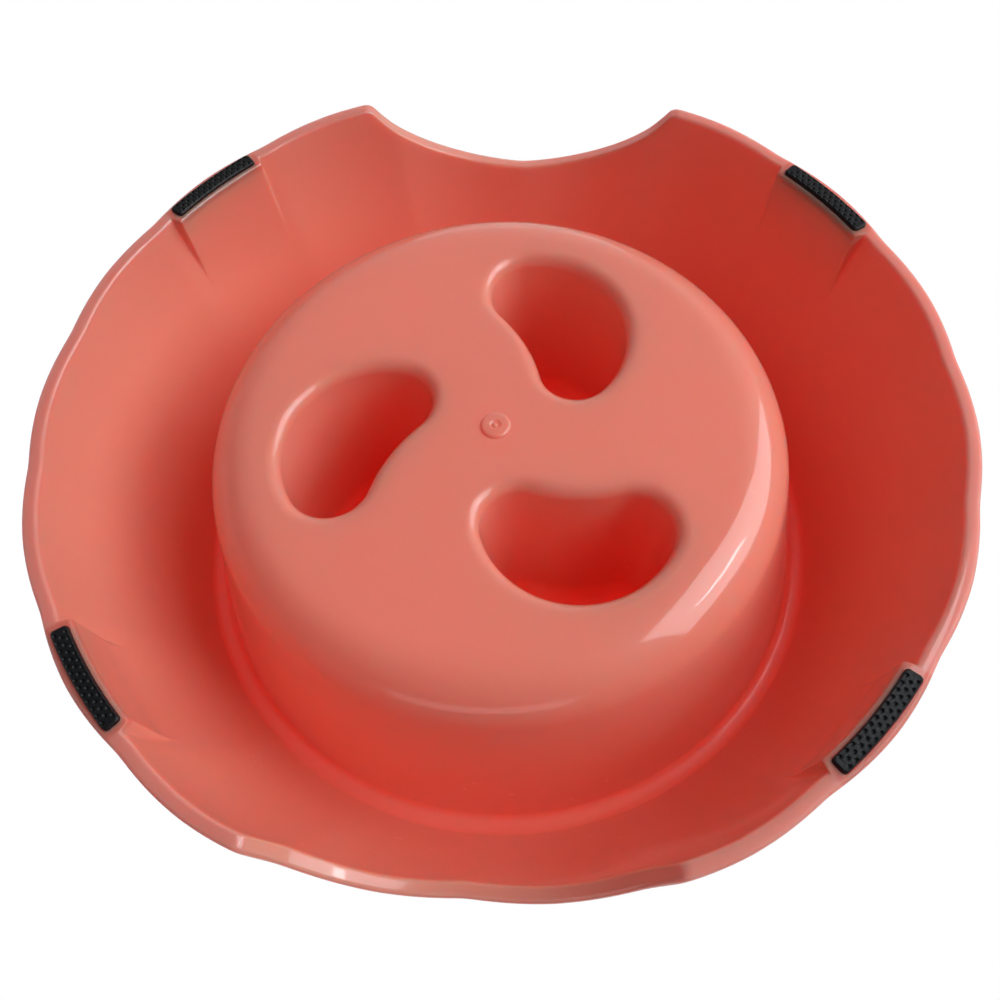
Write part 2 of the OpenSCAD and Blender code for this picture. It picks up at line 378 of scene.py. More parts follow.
@dataclass
class Well:
    """The round food well that hangs inside the skirt, and the rim between them."""

    radius: float = 63.6
    top_r: float = 73.8
    underside_z: float = 6.5
    wall: float = 3.0
    outer_round: float = 12.0
    rim_wall: float = 3.4
    rim_round: float = 4.2
    seam_share: float = 0.56

    @property
    def floor_z(self) -> float:
        """Height of the floor that the food lies on."""
        return self.underside_z + self.wall

    def slope(self, skirt: Skirt) -> float:
        """Growth of the well's radius with its height."""
        return (self.top_r - self.radius) / (skirt.height - self.rim_wall - self.underside_z)

    def inside(self, z: float, skirt: Skirt) -> float:
        """Inner radius of the well at a height."""
        slope = self.slope(skirt)
        return self.radius + slope * (z - self.underside_z) - self.wall * math.hypot(1, slope)


@dataclass
class GateMark:
    """The button that the mould's gate leaves under the well."""

    diameter: float = 6.8
    height: float = 0.6
    dimple_d: float = 2.6
    nub_d: float = 1.0
    nub_off: float = 0.18
    dome_power: int = 12
    dimple_share: float = 0.45
    dimple_edge: tuple[float, float] = (0.55, 1.1)
    nub_share: float = 0.7
    nub_edge: tuple[float, float] = (0.55, 1.25)
    burr_height: float = 0.06
    burr_off: float = 0.1
    burr_width: float = 0.16

    def height_at(self, x: np.ndarray, y: np.ndarray) -> np.ndarray:
        """How far the button stands out of the underside.

        It is a dome, 1 less a high power of the radius, so flat on top. A shallow
        dimple sinks into it, with a fine burr round it (a bell curve of the
        radius) and a nub a little off its middle.

        Args:
            x: Distances along the x axis, in mm.
            y: Distances along the y axis, in mm.

        Returns:
            Heights, in mm.
        """
        r = np.hypot(x, y)
        dome = self.height * (1 - (2 * r / self.diameter) ** self.dome_power)
        dimple = self.height * self.dimple_share * (1 - smooth(*self.dimple_edge, 2 * r / self.dimple_d))
        nub_r = np.hypot(x - self.nub_off, y + self.nub_off) * 2 / self.nub_d
        nub = self.height * self.nub_share * (1 - smooth(*self.nub_edge, nub_r))
        burr = self.burr_height * np.exp(-((r - self.dimple_d / 2 - self.burr_off) / self.burr_width) ** 2)
        return np.maximum(dome, 0) - dimple + nub + burr


@dataclass
class Kidney:
    """Outline of an obstacle's pocket: two round ends, a bulging side and a hollow side."""

    big_r: float = 9.3
    small_r: float = 8.2
    belly_r: float = 21.6
    waist_r: float = 38.5
    spacing: float = 23.8
    middle_y: float = 4.8
    samples: int = 1500
    dense: dict[str, np.ndarray] = field(default_factory=dict)

    def centre_of(self, to_small: float, to_big: float) -> np.ndarray:
        """Centre of a side's arc, from its distances to the centres of the two ends."""
        x = (to_small ** 2 - to_big ** 2) / (2 * self.spacing)
        return np.array([x, -math.sqrt(to_small ** 2 - (x + self.spacing / 2) ** 2)])

    def trace(self) -> None:
        """Samples the outline and its outward normals, counter-clockwise.

        Each stretch is an arc about its own centre. On the waist, whose centre
        is outside, the normal points to that centre.
        """
        small, big = np.array([-self.spacing / 2, 0]), np.array([self.spacing / 2, 0])
        belly = self.centre_of(self.belly_r - self.small_r, self.belly_r - self.big_r)
        waist = self.centre_of(self.waist_r + self.small_r, self.waist_r + self.big_r)
        low, high = heading(big - belly), heading(small - belly)
        small_end, big_start = heading(waist - small) + 2 * math.pi, heading(waist - big)
        stretches = [
            (big, self.big_r, big_start, low, 1),
            (belly, self.belly_r, low, high, 1),
            (small, self.small_r, high, small_end, 1),
            (waist, self.waist_r, small_end - math.pi, big_start + math.pi, -1),
        ]
        points, normals = [], []
        for centre, radius, start, end, outward in stretches:
            angle = np.linspace(start, end, self.samples, endpoint=False)
            ray = np.stack([np.cos(angle), np.sin(angle)], axis=-1)
            points.append(centre + radius * ray)
            normals.append(ray * outward)
        self.dense = {"points": np.concatenate(points), "normals": np.concatenate(normals)}

    def at_angles(self, angles: np.ndarray, growth: float) -> tuple[np.ndarray, np.ndarray]:
        """Points and normals where the grown outline is seen under given angles.

        Args:
            angles: Angles about the outline's middle, in radians.
            growth: How far the outline that the angles refer to is grown, in mm.

        Returns:
            Points of the outline that isn't grown, and their outward normals.
        """
        grown = self.dense["points"] + growth * self.dense["normals"]
        seen = np.arctan2(grown[:, 1] - self.middle_y, grown[:, 0])
        order = np.argsort(seen)
        picked = [
            np.interp(angles, seen[order], self.dense[key][order, axis], period=2 * math.pi)
            for key in ("points", "normals") for axis in (0, 1)]
        return np.stack(picked[:2], axis=-1), np.stack(picked[2:], axis=-1)


@dataclass
class Obstacle:
    """A hollow obstacle that slows the eating: a kidney raised from the floor, open below."""

    count: int = 3
    height: float = 52.0
    wall: float = 2.4
    place: float = 29.7
    bearing: float = -7.5
    turn: float = -50.8
    draft: float = 1.5
    mouth_round: float = 3.0
    root_round: float = 2.0
    crown_round: float = 8.0
    base_steps: int = 5
    wall_steps: int = 5
    crown_steps: int = 7
    kidney: Kidney = field(default_factory=Kidney)

    @property
    def sector(self) -> float:
        """Angle of the floor that belongs to one obstacle, in degrees."""
        return 360 / self.count

    def starts(self) -> np.ndarray:
        """Azimuths of the lines between the obstacles, in degrees."""
        return (self.bearing + self.sector * (np.arange(self.count) - 0.5)) % 360

    def rings(self, base_z: float, top_z: float, growth: float, base_round: float,
              crown: float) -> np.ndarray:
        """Rings of the obstacle or its pocket: a rounding, a wall with draft and a rounded crown.

        Args:
            base_z: Height of the floor or underside that it starts from, in mm.
            top_z: Height of its closed end.
            growth: Growth of the kidney at the wall's foot.
            base_round: Radius of the rounding at the base.
            crown: Radius of the rounding at the closed end.

        Returns:
            Rows of growth and height.
        """
        wall_z, crown_z = base_z + base_round, top_z - crown
        lean = (crown_z - wall_z) * math.tan(math.radians(self.draft))
        turn = np.radians(np.linspace(0, 90, self.base_steps + 1))
        rise = base_z + base_round * (1 - np.cos(turn))
        base = np.stack([growth + base_round * (1 - np.sin(turn)), rise], -1)
        wall = between([growth, wall_z], [growth - lean, crown_z], self.wall_steps)
        turn = np.radians(np.linspace(0, 90, self.crown_steps + 1))
        dome = np.stack([growth - lean - crown * (1 - np.cos(turn)), crown_z + crown * np.sin(turn)], -1)
        return np.concatenate([base, wall, dome])

    def to_frame(self, local: np.ndarray, number: int) -> np.ndarray:
        """Turns points of the kidney's plane into the row frame's plane."""
        return turned(turned(local, self.turn) + [self.place, 0], self.bearing + self.sector * number)

    def from_frame(self, points: np.ndarray, number: int) -> np.ndarray:
        """Turns points of the row frame's plane into the kidney's plane."""
        return turned(turned(points, -self.bearing - self.sector * number) - [self.place, 0], -self.turn)


@dataclass
class Bowl:
    """The one moulding: well, obstacles, rim, skirt, pads and pockets."""

    skirt: Skirt = field(default_factory=Skirt)
    well: Well = field(default_factory=Well)
    obstacle: Obstacle = field(default_factory=Obstacle)
    notch: Notch = field(default_factory=Notch)
    seat: FootSeat = field(default_factory=FootSeat)
    gate: GateMark = field(default_factory=GateMark)
    plain_columns: int = 360
    middle_samples: int = 24
    line_steps: int = 20
    tip_reach: tuple[float, float, int] = (-2.2, 1.2, 9)
    edge_rounds: int = 6
    tilt_probe: float = 0.5
    inside_steps: int = 12
    edge_steps: int = 4
    outside_steps: int = 11
    heel_steps: int = 12
    bend_steps: int = 5
    wall_steps: int = 8
    rim_steps: int = 8
    toe_steps: int = 9
    button_rows: int = 22
    middle_rows: int = 4
    inside_bunch: float = 1.3
    outside_bunch: float = 1.15
    flat_shares: tuple[float, ...] = (0, 0.45, 0.75, 0.92)
    lid_shares: tuple[float, ...] = (0.3, 0.65, 1)
    arc_slack: float = 1e-6

    def columns(self) -> np.ndarray:
        """Azimuths of all columns of the turned surfaces.

        Returns:
            Angles from the x axis, sorted and rounded so that equal ones meet, in degrees.
        """
        tip = math.degrees(math.acos(self.notch.tip_x / self.skirt.edge_r))
        reach = np.linspace(*self.tip_reach)
        tips = np.concatenate([tip - reach, 180 - tip + reach, 180 + tip - reach, 360 - tip + reach])
        plain = np.arange(self.plain_columns) * 360 / self.plain_columns
        every = np.concatenate([
            plain, self.skirt.columns(), self.seat.columns(), tips, self.obstacle.starts()])
        return np.unique(np.round(every % 360, ANGLE_DIGITS))

    def outer_side(self, z: np.ndarray, rise: np.ndarray) -> np.ndarray:
        """Outer radius of the skirt at given heights, with the flutes' rise of each column."""
        return self.skirt.side(z) + rise * self.skirt.fade(z)

    def inner_side(self, z: np.ndarray, rise: np.ndarray, pad: np.ndarray) -> np.ndarray:
        """Inner radius of the skirt: its outside less the wall, or a foot's pad where that is nearer.

        Args:
            z: Heights, in mm.
            rise: Rise of the flutes in each column.
            pad: Share of the pad's step in each column.

        Returns:
            Radii, in mm.
        """
        skirt, seat = self.skirt, self.seat
        plain = skirt.side(z) - skirt.wall + rise * skirt.fade(z)
        top_z = skirt.edge_z + seat.pad_h
        top_r = skirt.side(top_z) - skirt.wall + skirt.flute_rise * skirt.fade(top_z)
        foot_r = seat.inner_r - seat.lip
        face = foot_r + (top_r - foot_r) * (z - skirt.edge_z) / seat.pad_h
        return plain - pad * np.maximum(plain - face, 0)

    def edge_rows(self, azimuth: np.ndarray, rise: np.ndarray, pad: np.ndarray) -> list[np.ndarray]:
        """Rows of the skirt from the channel down the inside, round the edge and up the outside.

        The edge's height comes from the notch at each point's own distance from
        the y axis, found in a few rounds because the radius depends on the height.

        Args:
            azimuth: Azimuth of each column, in degrees.
            rise: Rise of the flutes in each column.
            pad: Share of the pad's step in each column.

        Returns:
            Grids of points, one a row, in mm.
        """
        skirt = self.skirt
        cosine = np.cos(np.radians(azimuth))
        outside = partial(self.outer_side, rise=rise)
        inside = partial(self.inner_side, rise=rise, pad=pad)
        e, probe = skirt.edge_round, self.tilt_probe
        ends = []
        for side, sign in ((inside, -1), (outside, 1)):
            level = self.notch.edge(skirt.edge_r * cosine)
            for _ in range(self.edge_rounds):
                level = self.notch.edge((side(level + e) - sign * e) * cosine)
            tilt = np.arctan((side(level + e) - side(level + e + probe)) / probe)
            z = level + e + sign * e * np.sin(tilt)
            ends.append((level, tilt, z, side(z) - sign * e * np.cos(tilt)))
        (z_in, tilt_in, low_in, c_in), (z_out, tilt_out, low_out, c_out) = ends
        shoulder_z = skirt.height - 2 * self.well.rim_round
        rows = []
        start_z = self.channel_arc()[-1][1]
        for t in np.linspace(0, 1, self.inside_steps + 1)[1:]:
            z = start_z + (low_in - start_z) * (1 - (1 - t) ** self.inside_bunch)
            rows.append(polar(inside(z), azimuth, z))
        for t in np.linspace(0, 1, self.edge_steps + 1)[1:]:
            a = (math.pi + tilt_in) + (math.pi / 2 - tilt_in) * t
            rows.append(polar(c_in + e * np.cos(a), azimuth, z_in + e + e * np.sin(a)))
        rows += self.bottom_rows(azimuth, cosine, c_in, c_out)
        for t in np.linspace(0, 1, self.edge_steps + 1):
            a = -math.pi / 2 + (math.pi / 2 + tilt_out) * t
            rows.append(polar(c_out + e * np.cos(a), azimuth, z_out + e + e * np.sin(a)))
        for t in np.linspace(0, 1, self.outside_steps + 1)[1:]:
            z = low_out + (shoulder_z - low_out) * t ** self.outside_bunch
            rows.append(polar(outside(z), azimuth, z))
        return rows

    def bottom_rows(self, azimuth: np.ndarray, cosine: np.ndarray, c_in: np.ndarray,
                    c_out: np.ndarray) -> list[np.ndarray]:
        """Rows of the edge's underside, which sink into a pocket at each foot.

        In a pocket, five rows make its inner wall, its ceiling and its outer
        wall. Its sides draw together over its rounded corners. Elsewhere the
        same rows lie on the edge, held between its two roundings.

        Args:
            azimuth: Azimuth of each column, in degrees.
            cosine: Its cosine.
            c_in: Radius where the inner rounding ends.
            c_out: Radius where the outer rounding starts.

        Returns:
            Grids of points, one a row, in mm.
        """
        seat = self.seat
        corner = seat.corner + seat.gap
        from_end = seat.length / 2 + seat.gap - seat.along(azimuth)
        short = np.clip(corner - from_end, 0, corner)
        draw_in = corner - np.sqrt(corner ** 2 - short ** 2)
        low = np.clip(seat.inner_r - seat.gap + draw_in, c_in, c_out)
        high = np.clip(seat.outer_r + seat.gap - draw_in, c_in, c_out)
        deep = np.where(from_end > 0, seat.depth, 0)
        rows = []
        for share, sunk in ((0, 0), (0, 1), (0.5, 1), (1, 1), (1, 0)):
            r = low + (high - low) * share
            rows.append(polar(r, azimuth, self.notch.edge(r * cosine) + deep * sunk))
        return rows

    def channel_arc(self) -> np.ndarray:
        """Outer half of the channel under the rim.

        It is an arc of half the channel's width, from its top to the skirt's inside.

        Returns:
            The arc's points, as [r, z].
        """
        skirt, well = self.skirt, self.well
        z = skirt.height - well.rim_wall
        shoulder_z = skirt.height - 2 * well.rim_round
        width = skirt.side(z) - skirt.wall - well.top_r
        corner = [skirt.side(z) - skirt.wall, z]
        below = [skirt.side(shoulder_z) - skirt.wall, shoulder_z]
        return fillet([well.top_r, z], corner, below, width / 2, self.bend_steps)

    def turned_rows(self, azimuth: np.ndarray) -> np.ndarray:
        """The whole turned surface, from the underside out, round the skirt and back to the floor.

        Args:
            azimuth: Azimuth of each column, in degrees.

        Returns:
            One grid of points, in mm.
        """
        skirt, well = self.skirt, self.well
        rise = skirt.rise(azimuth)
        half, soft = self.seat.length / 2 + self.seat.end_lip, self.seat.step_soft / 2
        pad = 1 - smooth(half - soft, half + soft, self.seat.along(azimuth))
        channel_z = skirt.height - well.rim_wall
        shoulder_z = skirt.height - 2 * well.rim_round
        heel, shoulder = [well.radius, well.underside_z], [well.top_r, channel_z]
        width = skirt.side(channel_z) - skirt.wall - well.top_r
        crest_r = well.top_r + width * well.seam_share
        turn = fillet([0, well.underside_z], heel, shoulder, well.outer_round, self.heel_steps)
        bend = fillet(heel, shoulder, [crest_r, channel_z], width / 2, self.bend_steps)
        outer = np.concatenate([turn, between(turn[-1], bend[0], self.wall_steps), bend])
        rows = [polar(r, azimuth, z) for r, z in outer]
        rows += self.fluted_rows(self.channel_arc(), azimuth, rise, crest_r, width / 2)
        rows += self.edge_rows(azimuth, rise, pad)
        top = [skirt.side(skirt.height), skirt.height]
        lip, toe = ([well.inside(z, skirt), z] for z in (skirt.height, well.floor_z))
        side, crest = [skirt.side(shoulder_z), shoulder_z], [crest_r, skirt.height]
        rim_out = fillet(side, top, crest, well.rim_round, self.rim_steps)
        rows += self.fluted_rows(rim_out, azimuth, rise, crest_r, width / 2)
        rim_in = fillet(crest, lip, toe, well.rim_round, self.rim_steps)
        turn = fillet(lip, toe, [0, well.floor_z], well.outer_round - well.wall, self.toe_steps)
        inner = np.concatenate([rim_in, between(rim_in[-1], turn[0], self.wall_steps), turn])
        rows += [polar(r, azimuth, z) for r, z in inner]
        return np.stack([np.broadcast_to(row, (len(azimuth), 3)) for row in rows])

    def fluted_rows(self, section: np.ndarray, azimuth: np.ndarray, rise: np.ndarray, crest_r: float,
                    reach: float) -> list[np.ndarray]:
        """Rows of a bent section over which the flutes grow out of the plain rim.

        The share of the flutes' rise goes evenly from 0 at the crest to 1 a
        reach further out.

        Args:
            section: Points of the section, as [r, z].
            azimuth: Azimuth of each column, in degrees.
            rise: Rise of the flutes in each column.
            crest_r: Radius of the rim's crest, in mm.
            reach: Length over which the flutes grow, in mm.

        Returns:
            Grids of points, one a row, in mm.
        """
        grown = [rise * self.skirt.fade(z) * np.clip((r - crest_r) / reach, 0, 1) for r, z in section]
        return [polar(r + growth, azimuth, z) for (r, z), growth in zip(section, grown)]

    def sector_edge(self, azimuth: np.ndarray, number: int, outer_r: float) -> np.ndarray:
        """Boundary of one obstacle's share of the floor, counter-clockwise.

        It runs out along one line between obstacles, round the outer circle,
        back along the next line and round the middle.

        Args:
            azimuth: Azimuths of all columns, in degrees.
            number: The obstacle's number.
            outer_r: Radius of the flat floor or underside, in mm.

        Returns:
            Points in the plane, in mm.
        """
        step = self.obstacle.sector
        start = np.round(self.obstacle.starts()[number], ANGLE_DIGITS)
        along = (azimuth - start) % 360
        arc = np.sort(along[along < step - self.arc_slack])
        middle = self.gate.diameter / 2
        out = np.linspace(middle, outer_r, self.line_steps + 1)[:-1]
        back = np.linspace(outer_r, middle, self.line_steps + 1)[:-1]
        ring = step * (1 - np.arange(self.middle_samples) / self.middle_samples)
        return np.concatenate([
            polar(out, np.full_like(out, start), out * 0),
            polar(np.full_like(arc, outer_r), arc + start, arc * 0),
            polar(back, np.full_like(back, start + step), back * 0),
            polar(np.full_like(ring, middle), ring + start, ring * 0),
        ])[:, :2]

    def floor_grid(self, edge: np.ndarray, number: int, plane_z: float, rings: np.ndarray) -> np.ndarray:
        """Grid from a sector's boundary over the flat to the kidney and on to its closed end.

        Each column is a ray from the kidney's middle. It crosses the flat in
        straight steps, follows the kidney's parallel outlines through the
        rings, and ends at the kidney's middle.

        Args:
            edge: The sector's boundary, in mm.
            number: The obstacle's number.
            plane_z: Height of the flat.
            rings: Rows of growth and height.

        Returns:
            One grid of points, in mm.
        """
        shape = self.obstacle
        local = shape.from_frame(edge, number)
        middle = np.array([0, shape.kidney.middle_y])
        angles = np.arctan2(local[:, 1] - middle[1], local[:, 0])
        points, normals = shape.kidney.at_angles(angles, rings[0][0])
        mouth = points + normals * rings[0][0]
        flat = [local + (mouth - local) * share for share in self.flat_shares]
        loops = [points + normals * growth for growth, _ in rings]
        last = loops[-1]
        lid = [last + (middle - last) * share for share in self.lid_shares]
        heights = [plane_z] * len(flat) + [z for _, z in rings] + [rings[-1][1]] * len(lid)
        return np.stack([
            np.column_stack([shape.to_frame(loop, number), np.full(len(loop), z)])
            for loop, z in zip(flat + loops + lid, heights)])

    def middle_grid(self, height: float, button: bool) -> np.ndarray:
        """Round patch in the middle of the floor or the underside.

        Args:
            height: Height of the flat, in mm.
            button: Whether the gate's button stands on it, downwards.

        Returns:
            One grid of points from the circle in to the axis, in mm.
        """
        count = self.obstacle.count * self.middle_samples
        start = np.round(self.obstacle.starts()[0], ANGLE_DIGITS)
        azimuth = start + np.arange(count) * 360 / count
        rows = self.button_rows if button else self.middle_rows
        grid = np.stack([polar(np.full(count, r), azimuth, np.full(count, height))
                         for r in self.gate.diameter / 2 * np.linspace(1, 0, rows)])
        if button:
            grid[1:, :, 2] -= self.gate.height_at(grid[1:, :, 0], grid[1:, :, 1])
        return grid

    def build(self) -> bpy.types.Object:
        """Makes the closed moulding.

        Returns:
            The object that stands for the CAD bowl.
        """
        azimuth = self.columns()
        self.obstacle.kidney.trace()
        shell = self.turned_rows(azimuth)
        mesh = Mesh()
        mesh.add_grid(shell)
        shape, well = self.obstacle, self.well
        top_z = well.floor_z + shape.height
        pocket = shape.rings(well.underside_z, top_z - shape.wall, 0, shape.mouth_round,
                             shape.crown_round - shape.wall)
        raised = shape.rings(well.floor_z, top_z, shape.wall, shape.root_round, shape.crown_round)
        for number in range(shape.count):
            below = self.sector_edge(azimuth, number, float(np.hypot(*shell[0, 0, :2])))
            above = self.sector_edge(azimuth, number, float(np.hypot(*shell[-1, 0, :2])))
            mesh.add_grid(self.floor_grid(below, number, well.underside_z, pocket), flip=True)
            mesh.add_grid(self.floor_grid(above, number, well.floor_z, raised))
        mesh.add_grid(self.middle_grid(well.underside_z, True), flip=True)
        mesh.add_grid(self.middle_grid(well.floor_z, False))
        return mesh.make("bowl_shell")


class FootPlace(Enum):
    """The four feet, each with its CAD node and its azimuth's quadrant."""

    FRONT_LEFT = "foot_front_left"
    FRONT_RIGHT = "foot_front_right"
    REAR_LEFT = "foot_rear_left"
    REAR_RIGHT = "foot_rear_right"

    def bearing(self, seat: FootSeat) -> float:
        """Azimuth of the foot's middle, in degrees."""
        return {
            FootPlace.FRONT_LEFT: 180 + seat.bearing,
            FootPlace.FRONT_RIGHT: -seat.bearing,
            FootPlace.REAR_LEFT: 180 - seat.bearing,
            FootPlace.REAR_RIGHT: seat.bearing,
        }[self]


@dataclass
class Foot:
    """A rubber foot: a strip bent round the axis, with rows of small dimples underneath."""

    place: FootPlace
    seat: FootSeat = field(default_factory=FootSeat)
    dimple_rows: int = 3
    dimples: int = 13
    dimple_d: float = 0.8
    dimple_depth: float = 0.34
    pitch: float = 1.75
    row_gap: float = 1.15
    grid_step: float = 0.11
    corner_columns: int = 7
    dimple_edge: tuple[float, float] = (0.35, 1.2)
    waves: tuple[tuple[float, float, float, float], ...] = ((0.02, 2.1, 1.3, 0.0), (0.015, 5.3, 0.0, -2.0))
    wave_free: tuple[int, int] = (6, 24)

    def half_width(self, along: np.ndarray) -> np.ndarray:
        """Half of the foot's width, which draws in over the rounded corners.

        Args:
            along: Lengths from the foot's middle, in mm.

        Returns:
            Half widths, in mm.
        """
        corner = self.seat.corner
        short = np.clip(np.abs(along) - (self.seat.length / 2 - corner), 0, corner)
        return self.seat.width / 2 - corner + np.sqrt(corner ** 2 - short ** 2)

    def dimple(self, along: np.ndarray, across: np.ndarray) -> np.ndarray:
        """Depth of the dimples: a soft round pit at each place of a staggered pattern.

        Args:
            along: Lengths from the foot's middle, in mm.
            across: Lengths from its middle line, in mm.

        Returns:
            Depths, in mm.
        """
        side_rows = (self.dimple_rows - 1) / 2
        row = np.clip(np.round(across / self.row_gap), -side_rows, side_rows)
        shift = 0.5 * self.pitch * (row == 0)
        limit = (self.dimples - 1) / 2
        number = np.clip(np.round((along - shift) / self.pitch), -limit, limit - (row == 0))
        r = np.hypot(along - shift - number * self.pitch, across - row * self.row_gap)
        return self.dimple_depth * (1 - smooth(*self.dimple_edge, 2 * r / self.dimple_d))

    def build(self) -> bpy.types.Object:
        """Makes the foot.

        The underside is a fine grid over length and width. It has dimples and two
        slow waves, sines of the length and width that die out towards its edge.
        Its rim is bevelled, and the sides go straight up to the flat top.

        Returns:
            The object that stands for the CAD foot.
        """
        seat = self.seat
        along = np.arange(-seat.length / 2, seat.length / 2 + self.grid_step / 2, self.grid_step)
        ends = seat.corner * (1 - np.cos(np.radians(np.linspace(0, 90, self.corner_columns))))
        along = np.concatenate([-seat.length / 2 + ends, along[np.abs(along) < seat.length / 2 - seat.corner],
                                seat.length / 2 - ends[::-1]])
        share = np.linspace(-1, 1, int(seat.width / self.grid_step) + 1)
        s, c = np.meshgrid(along * (1 - seat.bevel / (seat.length / 2)), share, indexing="ij")
        width = self.half_width(along)[:, None]
        across = c * (width - seat.bevel * np.minimum(1, width))
        depth = self.dimple(s, across)
        wave = sum(size * np.sin(run * s + cross * c + phase) for size, run, cross, phase in self.waves)
        side_power, end_power = self.wave_free
        edge_free = (1 - np.abs(c) ** side_power) * (1 - (np.abs(s) / (seat.length / 2)) ** end_power)
        bottom = self.placed(s, across, np.maximum(0, depth + np.abs(wave) * edge_free))
        rim_along = np.broadcast_to(along[:, None], s.shape)
        shoulder = self.placed(rim_along, c * width, np.full(s.shape, seat.bevel))
        top = self.placed(rim_along, c * width, np.full(s.shape, seat.proud + seat.depth))
        mesh = Mesh()
        mesh.add_grid(bottom, wrap=False, flip=True)
        mesh.add_grid(top, wrap=False)
        mesh.add_grid(np.stack([rim_of(bottom), rim_of(shoulder), rim_of(top)]), flip=True)
        return mesh.make(f"rubber_{self.place.value}")

    def placed(self, along: np.ndarray, across: np.ndarray, z: np.ndarray) -> np.ndarray:
        """Bends the strip round the axis and turns it to its place."""
        angle = np.degrees(np.arcsin(along / self.seat.middle_r)) + self.place.bearing(self.seat)
        return polar(self.seat.middle_r + across, angle, z)


@dataclass(frozen=True)
class NodeTree:
    """Short calls that add nodes to a shader tree.

    A Mix node has sockets for each kind of data, and those for colours are
    found by their numbers.
    """

    tree: bpy.types.NodeTree
    mix_inputs: tuple[int, int, int] = (0, 6, 7)
    mix_output: int = 2

    def add(self, kind: str, **settings: object) -> bpy.types.Node:
        """Adds a node.

        Args:
            kind: The node's type, without its ShaderNode prefix.
            settings: Attributes to set on it.

        Returns:
            The node.
        """
        node = self.tree.nodes.new(kind if kind.startswith("Node") else f"ShaderNode{kind}")
        for name, value in settings.items():
            setattr(node, name, value)
        return node

    def wire(self, source: Feed, target: bpy.types.NodeSocket) -> None:
        """Links a socket to a target, or sets a plain value on it.

        Args:
            source: The socket or the value.
            target: The input that it feeds.
        """
        if isinstance(source, bpy.types.NodeSocket):
            self.tree.links.new(source, target)
        else:
            target.default_value = source

    def maths(self, operation: str, *values: Feed, clamp: bool = False) -> bpy.types.NodeSocket:
        """Adds a Math node.

        Args:
            operation: What it works out.
            values: What it is fed with, in order.
            clamp: Whether its result is kept between 0 and 1.

        Returns:
            Its result.
        """
        node = self.add("Math", operation=operation, use_clamp=clamp)
        for value, socket in zip(values, node.inputs):
            self.wire(value, socket)
        return node.outputs[0]

    def noise(self, vector: Feed, scale: Feed, detail: float = 2.0,
              rough: float = 0.5) -> bpy.types.NodeSocket:
        """Adds a Noise texture.

        Args:
            vector: Where it is read.
            scale: Its scale.
            detail: How many finer layers it has.
            rough: How strong each layer is beside the one before.

        Returns:
            Its factor.
        """
        node = self.add("TexNoise")
        self.wire(vector, node.inputs["Vector"])
        self.wire(scale, node.inputs["Scale"])
        self.wire(detail, node.inputs["Detail"])
        self.wire(rough, node.inputs["Roughness"])
        return node.outputs["Fac"]

    def stretch(self, vector: Feed, turn: tuple[float, float, float], scale: tuple[float, float, float],
                shift: tuple[float, float, float]) -> bpy.types.NodeSocket:
        """Adds a Mapping node.

        Args:
            vector: The vector that it changes.
            turn: Its rotation, in radians.
            scale: Its scale.
            shift: How far it moves the vector.

        Returns:
            The scaled, turned and moved vector.
        """
        node = self.add("Mapping")
        self.wire(vector, node.inputs["Vector"])
        node.inputs["Location"].default_value = shift
        node.inputs["Rotation"].default_value = turn
        node.inputs["Scale"].default_value = scale
        return node.outputs[0]

    def ramp(self, value: Feed, low: float, high: float, start: float = 0.0,
             end: float = 1.0) -> bpy.types.NodeSocket:
        """Adds a smooth Map Range.

        Args:
            value: What it maps.
            low: The value that becomes start.
            high: The value that becomes end.
            start: The result at low and below.
            end: The result at high and above.

        Returns:
            Its result.
        """
        node = self.add("MapRange", interpolation_type="SMOOTHSTEP")
        for name, item in (("Value", value), ("From Min", low), ("From Max", high),
                           ("To Min", start), ("To Max", end)):
            self.wire(item, node.inputs[name])
        return node.outputs[0]

    def axes(self, vector: Feed) -> list[bpy.types.NodeSocket]:
        """Adds a Separate XYZ node.

        Args:
            vector: The vector that it splits.

        Returns:
            The vector's three parts.
        """
        node = self.add("SeparateXYZ")
        self.wire(vector, node.inputs[0])
        return list(node.outputs)

    def bump(self, height: Feed, strength: float, distance: float) -> bpy.types.NodeSocket:
        """Adds a Bump node.

        Args:
            height: The height that it follows.
            strength: How strongly it follows it.
            distance: What a height of one stands for, in metres.

        Returns:
            Its normal.
        """
        node = self.add("Bump")
        node.inputs["Strength"].default_value = strength
        node.inputs["Distance"].default_value = distance
        self.wire(height, node.inputs["Height"])
        return node.outputs[0]

    def mix(self, factor: Feed, first: Feed, second: Feed) -> bpy.types.NodeSocket:
        """Adds a colour mix.

        Args:
            factor: The share of the second colour.
            first: The first colour.
            second: The second colour.

        Returns:
            The mixed colour.
        """
        node = self.add("Mix", data_type="RGBA")
        for source, number in zip((factor, first, second), self.mix_inputs):
            self.wire(source, node.inputs[number])
        return node.outputs[self.mix_output]


def new_group(name: str, inputs: dict[str, float], outputs: tuple[str, ...]) -> tuple[
        bpy.types.NodeTree, NodeTree, bpy.types.Node, bpy.types.Node]:
    """Starts a shader node group with a Position input, named numbers and outputs.

    Args:
        name: The group's name.
        inputs: Its number inputs with their defaults.
        outputs: Its number outputs.

    Returns:
        The group, its builder, its input node and its output node.
    """
    tree = bpy.data.node_groups.new(name, "ShaderNodeTree")
    tree.interface.new_socket("Position", in_out="INPUT", socket_type="NodeSocketVector")
    for key, value in inputs.items():
        tree.interface.new_socket(key, in_out="INPUT", socket_type="NodeSocketFloat").default_value = value
    for key in outputs:
        tree.interface.new_socket(key, in_out="OUTPUT", socket_type="NodeSocketFloat")
    nodes = NodeTree(tree)
    return tree, nodes, nodes.add("NodeGroupInput"), nodes.add("NodeGroupOutput")


